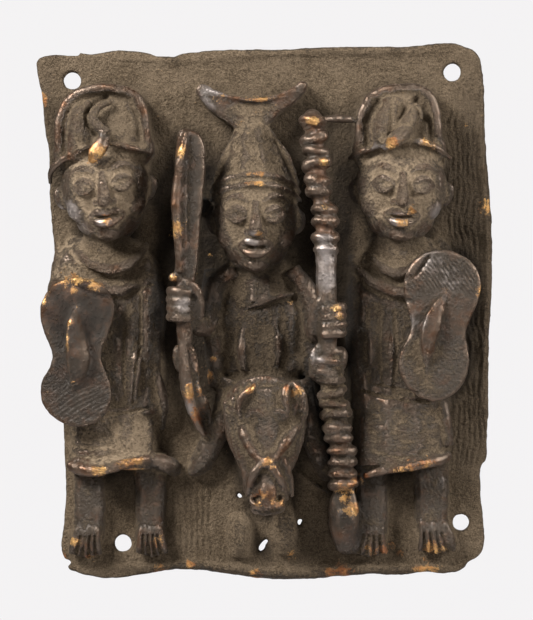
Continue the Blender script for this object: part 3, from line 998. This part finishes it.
ageSettings = {
    "soil": {"everywhere": 0.58, "pits": 0.5, "deep": 0.3, "ground": 0.35, "worn": 0.8, "proud": 0.1},
    "backSoil": 0.55,     # share of the soil that stays on the back
    "rubbed": [
        # x, y, half width, half height, lowest height, how much soil is gone
        (-69.8, -15, 15, 30, 16, 1.0), (63.6, 6, 15, 19, 16, 0.7), (60, -10, 5, 16, 20, 0.5),
        (68, -20, 7, 12, 16, 0.3), (-29.5, 30, 8, 40, 17, 0.6), (21, 30, 8, 50, 15, 0.75),
        (26, -44, 8, 22, 9, -0.36), (-27, -30, 10, 22, 11, 0.5), (28, -66, 8, 30, 8, 0.6),
        (-59.8, 46, 13, 15, 12, -0.22), (50.4, 44, 14, 15, 12, -0.22), (-3.8, 36, 12, 14, 12, -0.22),
        (-61, 69, 13, 11, 8, -0.4), (50, 70, 13, 11, 8, -0.4), (-62, 60.4, 4.4, 7, 18, 0.7),
        (-10, -84, 8, 11, 3, -0.4), (7, -79, 7, 14, 3, -0.4), (-60, 18, 20, 10, 6, -0.28),
        (48, 18, 18, 10, 6, -0.28), (-4, 58, 11, 12, 8, -0.3), (-56, -46, 14, 10, 6, -0.3),
        (-78, 34, 8, 20, 4, 0.3), (-68, -74, 8, 22, 7, 0.4), (-44, -74, 8, 22, 7, 0.4),
        (38.6, -74, 8, 22, 7, 0.4), (61, -74, 8, 22, 7, 0.4), (0, -36, 17, 18, 14, 0.05),
        (0, -64, 12, 14, 14, 0.3), (-18, 80, 9, 5, 8, 0.6), (-2, 80, 22, 3, 9, 0.5),
    ],
    "silverSpots": [
        # x, y, radius, where handling has left pale bright skin
        (-73.5, 37, 7), (-70, 30, 5), (-60, 33.6, 3.4), (48.6, 33.4, 4), (65, 35, 6), (-5, 26.5, 4),
        (-19.6, 80.4, 7), (22, 20, 6), (22.4, 12, 6), (21.6, 26, 4), (-30.4, 2, 4), (68.6, 12, 7),
        (62, 18, 6), (56, -4, 5), (-65, -66, 3), (65, -64, 3), (-29, -36, 4), (-27, -28, 3), (19, -17, 4),
        (30, -75, 4), (42, 60, 4), (58, 61.6, 4),
    ],
    "splashes": [
        # x, y, radius of flat spots scraped to bright metal
        (45, -88.6, 3.6), (50.4, -90.6, 2.4), (28.8, -67.6, 4.8), (31.2, -74, 4.4), (60, -88.4, 2.2),
        (66.4, -89, 2.2), (33, -62.6, 2.4), (-64.4, -91.4, 2.2), (55, -57, 2.6), (10.4, -30.4, 2.4),
        (-6.4, -28.8, 2.0), (-18.4, 79, 2.0), (-21, 21, 2.4), (-19.4, -18, 1.8), (-71, 11.6, 3.6),
        (38, -88.6, 2.4), (-2.4, -70.8, 2.2), (4.4, -70.6, 2.2),
    ],
    "dusty": [
        # x, y, half width, half height, lowest height, share of paler dust in the soil
        (-59.8, 46, 18, 19, 9, 1.0), (50.4, 46, 18, 19, 9, 1.0), (-3.8, 34, 16, 19, 9, 0.5),
        (-56, -48, 22, 12, 8, 0.8), (-60, 70, 17, 14, 8, 0.25), (50, 70, 17, 14, 8, 0.3),
        (-4, 64, 14, 16, 7, 0.2), (-75, 24, 8, 14, 3, 0.8), (50, -46, 18, 12, 8, 0.1),
        (64, 24, 8, 10, 4, 0.4), (-28, -52, 9, 12, 3, 0.5),
    ],
    "stained": [
        # x, y, half width, half height, lowest height, grime rubbed in
        (-69.8, -15, 17, 32, 17.4, 0.46), (63.6, -5, 18, 32, 17.4, 0.14), (-28.6, 38, 9, 34, 17, 0.24),
        (31, -78, 8, 16, 6, 0.22), (27, -46, 8, 20, 9, 0.15), (-69.8, 2, 15, 15, 17.4, 0.76),
        (-60, 70, 16, 13, 8, 0.12), (50, -46, 18, 12, 8, 0.1), (-6.4, -34, 3.4, 5.4, 18, 0.5),
        (10.8, -33, 3, 6.2, 18, 0.42), (-4.2, -39.6, 3.2, 2.6, 18, 0.5), (0, -50, 17, 28, 9, 0.09),
        (5, -38.8, 2.6, 1.8, 18, 0.35), (-9, -47, 2, 5, 14, 0.3), (10.4, -48, 2, 5, 14, 0.3),
    ],
    "reddened": [
        # x, y, radius of brown-red skin
        (-32.6, 60, 5), (-33.6, 50, 5), (-33.6, 40, 5), (-33, 28, 5), (-32.4, 18, 4), (60.2, -8, 4),
        (59.8, -14, 4), (61, 0, 4), (-76, 8, 7), (-80, 0, 6), (-68, 11, 7), (-60, 4, 4), (17.4, 69, 5),
        (20, 52, 5), (21, 40, 4), (21.6, 30, 4), (28, -60, 5), (-66, -58, 6), (-52, -56, 6),
        (-82, -32, 5), (-68, -88, 5), (-42, -88, 5), (-74.5, 80, 3), (-60, 85, 5), (-50, 83, 4),
        (-44.8, 74, 4), (-44.6, 66, 4), (-76, 66, 4), (-72, 58, 4), (-52, 60.6, 5), (-8, -34, 3.4),
        (11, -33, 3.4), (-6, -52, 5), (8, -52, 5), (1, -68, 6), (-14, 79, 6), (6, 79, 6), (-76, 76, 4),
        (-46, 74, 4), (24, -34, 5), (27, -50, 5), (76, -2, 5), (50, -58, 7), (44, 80, 6),
    ],
    "darkest": [
        # x, y, half width, half height, lean, depth of the grime left between the figures
        (-37.6, 32, 5.5, 26, 0, 1.0), (-21.4, 32, 4, 24, 0, 0.85), (-38, 2, 6, 18, 0, 0.7),
        (-20, 6, 5, 14, 0, 0.7), (14.6, 30, 3.6, 22, 0, 0.8), (29.6, 36, 4.5, 30, 0, 0.9),
        (30, -4, 5, 26, 0, 0.75), (0, -6, 17, 22, 0, 0.5), (46, -6, 16, 28, 0, 0.5),
        (-54, 0, 14, 20, 0, 0.45), (-55, -30, 12, 10, 0, 0.3), (77, 30, 10, 60, 0, 0.55),
        (76, -40, 9, 40, 0, 0.3), (18, -30, 6, 14, 0, 0.6), (-26, -18, 8, 12, 0, 0.6),
        (-55, -66, 6, 7, 0, 0.5), (50, -66, 6, 7, 0, 0.5), (-59, 27, 12, 4, 0, 0.6),
        (48, 26, 12, 4, 0, 0.6), (-3, 17, 11, 5, 0, 0.7), (23, -44, 4, 26, 0, 0.5),
        (34, -76, 5, 16, 0, 0.4), (16, -86, 10, 10, 0, 0.3), (-82, 60, 5, 40, 0, 0.35),
        (-0.9, -88.6, 4.2, 5.4, 0.6, 0.8), (59, 66, 5, 9, 0.3, 0.4), (40, 74, 4, 8, -0.3, 0.4),
        (0, -98, 80, 5, 0, 0.25),
    ],
    "copperSpots": [
        # x, y, radius of worn areas that show bright metal
        (-72.5, 11.0, 6.5), (-63, 10.5, 4), (-81, 4, 3), (-69.4, 1.5, 2.2), (-26.8, -30, 5.2),
        (-24.6, -38, 5.0), (-34, 12.6, 2.2), (-31.5, 58, 3.4), (-32.8, 30, 5), (-16, 78.6, 3),
        (-2, 78.4, 7), (-10, 70.6, 2.4), (16.8, 69.4, 3.2), (21, 55, 3), (21.4, 39.5, 3), (26, 0.6, 3),
        (27.6, -3, 2), (-64.6, 55.4, 3.4), (-62, 59, 4.2), (-72.4, -4, 2.0), (-72.8, -9, 2.0),
        (-72.6, -14, 2.0), (-72.0, -20, 1.8), (-71.0, -26, 1.4), (29.6, -69, 2.6), (30.6, -75, 2.4),
        (46.4, 62, 3.2), (60, 61.6, 4.6), (-5, -27.4, 3.2), (9.8, -29.6, 4.2), (0.6, -56, 3.8),
        (-2.6, -68, 3.6), (4.0, -70, 3.2), (31.6, -66.4, 3.6), (33.6, -72.8, 3.0), (-71.6, -86, 3.0),
        (-40.4, -86, 3.4), (-66, -92, 2.6), (52, -57.6, 5), (60, -56, 3), (36, -62, 3), (62, -88.6, 5),
        (47.6, -88.6, 3.4), (40, -90, 2.8), (79.2, 8, 3.6), (-50, -57, 6), (-62, -58.6, 4),
        (54, 37.4, 3.0), (50, 33, 3.2), (-59, 34, 2.6), (-2, 28, 2.4), (-4, 49, 5), (66, 8, 2),
        (-22, -24, 4), (9, 3.6, 1.6), (10, -92, 4), (-40, -97, 4), (60, -96, 8), (28, -99, 8),
        (-4, -99, 4), (75, 70, 2), (83, 40, 5), (-84, 80, 4), (-77, -93, 4), (-28.6, -95, 3),
    ],
}


def heightAround(points, reach):
    # mean front height of the casting within reach of each point, on a 1 mm grid
    half = 120     # what the grid takes in each way from the middle, mm
    cells = np.clip(np.round(points[:, :2]).astype(int) + half, 0, 2 * half - 1)
    grid = np.zeros((2 * half, 2 * half))
    np.maximum.at(grid, (cells[:, 0], cells[:, 1]), points[:, 2])
    shifts = range(-int(reach), int(reach) + 1)
    for axis in (0, 1):
        for _ in range(2):
            grid = sum(np.roll(grid, shift, axis=axis) for shift in shifts) / len(shifts)
    return grid[cells[:, 0], cells[:, 1]]


def spotMask(points, spots):
    mask = np.zeros(len(points))
    for x, y, radius in spots:
        gap = np.hypot(points[:, 0] - x, points[:, 1] - y)
        mask = np.maximum(mask, ramp(-gap, -radius * 1.2, -radius * 0.3))
    return mask


def zoneShare(points, zone, reach=1.1):
    x, y, wide, high, low, amount = zone
    gap = np.hypot((points[:, 0] - x) / wide, (points[:, 1] - y) / high)
    return amount * ramp(-gap, -reach, -0.8) * ramp(points[:, 2], low, low + 2)


def zoneMask(points, zones):
    mask = np.zeros(len(points))
    for zone in zones:
        mask = np.maximum(mask, zoneShare(points, zone))
    return mask


def storeValue(piece, name, values):
    attribute = piece.data.attributes.new(name, "FLOAT", "POINT")
    attribute.data.foreach_set("value", np.clip(values, 0, 1).astype(np.float32))


def sunkBelow(points, normals, calm):
    # how far each point lies below the calmer surface, along its normal
    return np.einsum("ij,ij->i", calm - points, normals)


def grimeBetween(points, deep):
    height = points[:, 2]
    around = heightAround(points, 4.5)
    grime = 0.7 * ramp(around - height, 0.8, 7.5) * (0.35 + 0.65 * ramp(-height, -12, -6)) + 0.25 * deep
    for x, y, wide, high, lean, depth in ageSettings["darkest"]:
        across = (points[:, 0] - x) * math.cos(lean) + (points[:, 1] - y) * math.sin(lean)
        along = (points[:, 1] - y) * math.cos(lean) - (points[:, 0] - x) * math.sin(lean)
        gap = np.hypot(across / wide, along / high)
        grime = np.maximum(grime, grime + depth * ramp(-gap, -1.35, -0.3) * ramp(-height, -17, -11))
    return grime


def ageSurface(piece):
    points = readPoints(piece)
    normals = readNormals(piece)
    edges = readEdges(piece)
    fine = averaged(points, edges, 3)
    medium = averaged(fine, edges, 9)
    broad = averaged(medium, edges, 40)
    hollow = sunkBelow(points, normals, medium)
    height = points[:, 2]
    raised = ramp(-hollow, 0.03, 0.32)
    ridge = ramp(-sunkBelow(points, normals, fine), 0.015, 0.12)
    pit = ramp(hollow, 0.0, 0.3)
    deep = ramp(sunkBelow(points, normals, broad), 0.0, 1.6)
    proud = ramp(height, 6, 17)
    front = ramp(height, 1.0, 3.0)
    ground = ramp(-height, -6.5, -4.2) * ramp(normals[:, 2], 0.3, 0.8)
    wear = np.clip(raised * (0.35 + 0.65 * proud) + 0.5 * ridge * proud, 0, 1)
    rim = ramp(np.abs(points[:, 0]), 74, 80) * (height < 6) * raised

    share = ageSettings["soil"]
    soil = share["everywhere"] + share["pits"] * pit + share["deep"] * deep + share["ground"] * ground
    soil = np.clip(soil - share["worn"] * wear - share["proud"] * proud, 0, 1)
    for zone in ageSettings["rubbed"]:
        soil = soil - zoneShare(points, zone, 1.15)
    copper = spotMask(points, ageSettings["copperSpots"]) * np.clip(0.4 + 0.3 * raised + 0.4 * ridge, 0, 1)
    copper = np.maximum(copper, 0.78 * spotMask(points, ageSettings["splashes"])) * front
    silver = spotMask(points, ageSettings["silverSpots"]) * np.clip(0.25 + 0.8 * raised, 0, 1)
    silver = silver * ramp(height, 7, 10)
    soil = np.clip(soil - 0.55 * silver, 0, 1)
    red = spotMask(points, ageSettings["reddened"]) * ramp(height, 5, 9)
    grime = grimeBetween(points, deep) + zoneMask(points, ageSettings["stained"]) * (1 - 0.8 * copper)

    backSoil = ageSettings["backSoil"]
    storeValue(piece, "silver", averaged(silver, edges, 2))
    storeValue(piece, "red", averaged(red, edges, 4))
    storeValue(piece, "wear", averaged(np.clip(wear + 0.6 * rim, 0, 1), edges, 1))
    storeValue(piece, "soil", averaged(soil, edges, 2) * (backSoil + (1 - backSoil) * front))
    storeValue(piece, "copper", averaged(copper, edges, 1))
    storeValue(piece, "dust", averaged(zoneMask(points, ageSettings["dusty"]), edges, 6))
    storeValue(piece, "grime", averaged(grime, edges, 3))
    print("age stored on", len(points), "points")


# Metal

metalSettings = {
    "patina": (0.040, 0.028, 0.018, 1), "patinaSheen": (0.125, 0.09, 0.066, 1),
    "rust": (0.10, 0.047, 0.023, 1), "silver": (0.27, 0.235, 0.215, 1),
    "soilDark": (0.054, 0.037, 0.021, 1), "soilPale": (0.145, 0.105, 0.067, 1),
    "dust": (0.235, 0.172, 0.112, 1),
    "bareMetal": (0.60, 0.36, 0.14, 1), "redMetal": (0.25, 0.105, 0.048, 1),
    "grime": (0.007, 0.0045, 0.0025, 1),
    "grainScale": 900, "speckScale": 2100, "patchScale": 95, "mottleScale": 320, "rustScale": 140,
    "bump": 0.0013,       # depth of the grain, m
}


def makeMetal():
    metal = bpy.data.materials.new("agedBrass")
    metal.use_nodes = True
    nodes, links = metal.node_tree.nodes, metal.node_tree.links
    nodes.clear()

    def node(kind, **values):
        made = nodes.new(kind)
        for key, value in values.items():
            if hasattr(made, key):
                setattr(made, key, value)
            else:
                made.inputs[key].default_value = value
        return made

    def attribute(name):
        return node("ShaderNodeAttribute", attribute_name=name).outputs["Fac"]

    def noise(scale, detail, rough):
        made = node("ShaderNodeTexNoise", Scale=scale, Detail=detail, Roughness=rough)
        links.new(place.outputs["Object"], made.inputs["Vector"])
        return made.outputs["Fac"]

    def remap(value, low, high, outLow=0.0, outHigh=1.0):
        made = node("ShaderNodeMapRange")
        for key, number in (("From Min", low), ("From Max", high), ("To Min", outLow), ("To Max", outHigh)):
            made.inputs[key].default_value = number
        links.new(value, made.inputs["Value"])
        return made.outputs["Result"]

    def sway(value, least, most):
        # a noise turned into a swing between two amounts
        return remap(value, 0.3, 0.7, least, most)

    def calc(operation, first, second, third=None):
        made = node("ShaderNodeMath", operation=operation)
        for slot, value in enumerate((first, second, third)):
            if value is None:
                continue
            if isinstance(value, (int, float)):
                made.inputs[slot].default_value = value
            else:
                links.new(value, made.inputs[slot])
        return made.outputs["Value"]

    def blend(share, first, second):
        made = node("ShaderNodeMix", data_type="RGBA")
        links.new(share, made.inputs["Factor"])
        for slot, colour in ((6, first), (7, second)):
            if isinstance(colour, tuple):
                made.inputs[slot].default_value = colour
            else:
                links.new(colour, made.inputs[slot])
        return made.outputs[2]

    place = node("ShaderNodeTexCoord")
    names = ("wear", "soil", "copper", "grime", "silver", "red")
    wear, soil, copper, grime, silver, red = (attribute(name) for name in names)
    grain = noise(metalSettings["grainScale"], 5, 0.65)
    speck = noise(metalSettings["speckScale"], 3, 0.6)
    patches = noise(metalSettings["patchScale"], 5, 0.62)
    mottled = noise(metalSettings["mottleScale"], 4, 0.6)

    soilShare = calc("ADD", calc("MULTIPLY", soil, 1.3), sway(patches, -0.2, 0.2))
    soilShare = calc("ADD", soilShare, sway(grain, -0.3, 0.3))
    soilShare = remap(soilShare, 0.1, 0.75)
    sheenShare = remap(calc("ADD", wear, sway(mottled, -0.3, 0.26)), 0.35, 1.0)
    bareShare = calc("ADD", calc("MULTIPLY", copper, 1.5), remap(mottled, 0.35, 0.68, -1.0, 0.0))
    bareShare = calc("ADD", bareShare, calc("MULTIPLY", calc("POWER", wear, 3.0), 0.2))
    bareShare = calc("ADD", bareShare, sway(speck, -0.35, 0.35))
    bareShare = remap(calc("ADD", bareShare, sway(grain, -0.5, 0.4)), 0.25, 0.95)

    patina = blend(sheenShare, metalSettings["patina"], metalSettings["patinaSheen"])
    rustShare = calc("MULTIPLY", remap(noise(metalSettings["rustScale"], 5, 0.66), 0.5, 0.66),
                     remap(mottled, 0.35, 0.6, 0.2, 0.75))
    rustShare = calc("ADD", rustShare, calc("MULTIPLY", red, remap(mottled, 0.35, 0.6, 0.1, 0.8)))
    patina = blend(calc("MINIMUM", rustShare, 0.85), patina, metalSettings["rust"])
    sandy = calc("ADD", sway(grain, -0.2, 0.2), sway(speck, -0.26, 0.26))
    soilTone = blend(remap(calc("ADD", patches, sandy), 0.27, 0.74),
                     metalSettings["soilDark"], metalSettings["soilPale"])
    dustShare = calc("MULTIPLY", attribute("dust"),
                     remap(calc("ADD", mottled, sway(grain, -0.2, 0.2)), 0.35, 0.65, 0.35, 1.0))
    soilTone = blend(dustShare, soilTone, metalSettings["dust"])
    bare = blend(remap(patches, 0.4, 0.62), metalSettings["redMetal"], metalSettings["bareMetal"])
    silverShare = remap(calc("ADD", silver, sway(mottled, -0.35, 0.15)), 0.15, 1.0)
    patina = blend(silverShare, patina, metalSettings["silver"])
    colour = blend(soilShare, patina, soilTone)
    dirty = calc("ADD", grime, sway(patches, -0.18, 0.18))
    colour = blend(remap(dirty, 0.0, 1.15), colour, metalSettings["grime"])
    colour = blend(bareShare, colour, bare)
    clean = calc("SUBTRACT", 1.0, soilShare)
    metallic = calc("MULTIPLY", clean, calc("MULTIPLY_ADD", sheenShare, 0.5, 0.35))
    metallic = calc("MAXIMUM", metallic, bareShare)
    rough = calc("MULTIPLY_ADD", soilShare, 0.4, 0.45)
    rough = calc("SUBTRACT", rough, calc("MULTIPLY", sheenShare, 0.08))
    rough = calc("ADD", rough, sway(grain, -0.08, 0.08))

    height = calc("ADD", calc("MULTIPLY", grain, 0.9), calc("MULTIPLY", mottled, 0.9))
    height = calc("ADD", height, calc("MULTIPLY", speck, 0.4))
    height = calc("MULTIPLY", height, calc("MULTIPLY_ADD", soilShare, 0.85, 0.2))
    bump = node("ShaderNodeBump", Strength=1.0, Distance=metalSettings["bump"])
    links.new(height, bump.inputs["Height"])

    shader = node("ShaderNodeBsdfPrincipled")
    links.new(colour, shader.inputs["Base Color"])
    links.new(metallic, shader.inputs["Metallic"])
    rough = calc("MAXIMUM", rough, calc("MINIMUM", calc("MULTIPLY", grime, 1.1), 0.9))
    links.new(rough, shader.inputs["Roughness"])
    links.new(calc("MULTIPLY_ADD", soilShare, -0.3, 0.45), shader.inputs["Specular IOR Level"])
    links.new(bump.outputs["Normal"], shader.inputs["Normal"])
    output = node("ShaderNodeOutputMaterial")
    links.new(shader.outputs["BSDF"], output.inputs["Surface"])
    return metal


def standUp(piece):
    clearSelection()
    piece.select_set(True)
    bpy.context.view_layer.objects.active = piece
    piece.rotation_euler = (math.pi / 2, 0, 0)
    piece.scale = (0.001, 0.001, 0.001)
    bpy.ops.object.transform_apply(location=True, rotation=True, scale=True)
    bpy.ops.object.shade_smooth()
    # the back lies against the wall and stays dead flat
    bpy.ops.object.mode_set(mode="EDIT")
    bpy.ops.mesh.select_mode(type="FACE")
    bpy.ops.mesh.select_all(action="DESELECT")
    bpy.ops.object.mode_set(mode="OBJECT")
    for face in piece.data.polygons:
        face.select = face.normal.y > 0.995 and face.center.y > -0.0002
    bpy.ops.object.mode_set(mode="EDIT")
    bpy.ops.mesh.faces_shade_flat()
    bpy.ops.object.mode_set(mode="OBJECT")


makePlate()
makeAttendant(leftAttendant, "left")
makeAttendant(rightAttendant, "right")
makeRider()
makeClub()
makeStaff()
makeHorse()

casting = joinWax()
applyModifier(casting, "SMOOTH", factor=castSettings["smooth"], iterations=1)
fillHollows(casting)
carve(casting)
roughen(casting)
thin(casting)
ageSurface(casting)
standUp(casting)
casting.data.materials.clear()
casting.data.materials.append(makeMetal())
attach(casting, "root")
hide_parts("plaque")


# Studio

studioSettings = {
    "lens": 150, "distance": 0.974, "aim": (0.0002, 0, 0.0005),
    "softboxes": [
        # x, y, z, width, power
        (-0.62, -0.48, 0.62, 0.3, 26.0), (0.84, -0.38, 0.40, 0.26, 13.0), (0.1, -0.9, 0.1, 0.3, 1.6),
    ],
    "paper": (0.8, 0.79, 0.8, 1), "floorDrop": 0.62,
    "backdrop": (0.905, 0.893, 0.9, 1), "ambient": (1, 0.9, 0.78, 1), "ambientStrength": 0.03,
}


def makeFloor():
    clearSelection()
    bpy.ops.mesh.primitive_plane_add(size=3, location=(0, 0, -studioSettings["floorDrop"]))
    floor = bpy.context.object
    floor.name = "paleFloor"
    paper = bpy.data.materials.new("palePaper")
    paper.use_nodes = True
    shader = paper.node_tree.nodes["Principled BSDF"]
    shader.inputs["Base Color"].default_value = studioSettings["paper"]
    shader.inputs["Roughness"].default_value = 0.9
    floor.data.materials.append(paper)


def makeLamps():
    for x, y, z, width, power in studioSettings["softboxes"]:
        bpy.ops.object.light_add(type="AREA", location=(x, y, z))
        lamp = bpy.context.object
        lamp.data.shape = "SQUARE"
        lamp.data.size = width
        lamp.data.energy = power
        lamp.rotation_euler = lamp.location.to_track_quat("Z", "Y").to_euler()


def makeBackdrop():
    # the camera sees pale paper, while the metal sees a dim warm room
    world = bpy.data.worlds.new("studio")
    bpy.context.scene.world = world
    world.use_nodes = True
    nodes, links = world.node_tree.nodes, world.node_tree.links
    nodes.clear()
    path = nodes.new("ShaderNodeLightPath")
    pale = nodes.new("ShaderNodeBackground")
    pale.inputs["Color"].default_value = studioSettings["backdrop"]
    dim = nodes.new("ShaderNodeBackground")
    dim.inputs["Color"].default_value = studioSettings["ambient"]
    dim.inputs["Strength"].default_value = studioSettings["ambientStrength"]
    mix = nodes.new("ShaderNodeMixShader")
    output = nodes.new("ShaderNodeOutputWorld")
    links.new(path.outputs["Is Camera Ray"], mix.inputs[0])
    links.new(dim.outputs[0], mix.inputs[1])
    links.new(pale.outputs[0], mix.inputs[2])
    links.new(mix.outputs[0], output.inputs["Surface"])
    bpy.context.scene.view_settings.view_transform = "Standard"


def placeCamera():
    x, y, z = studioSettings["aim"]
    bpy.ops.object.camera_add(location=(x, y - studioSettings["distance"], z), rotation=(math.pi / 2, 0, 0))
    camera = bpy.context.object
    camera.data.lens = studioSettings["lens"]
    bpy.context.scene.camera = camera


makeFloor()
makeLamps()
makeBackdrop()
placeCamera()
print("studio ready")
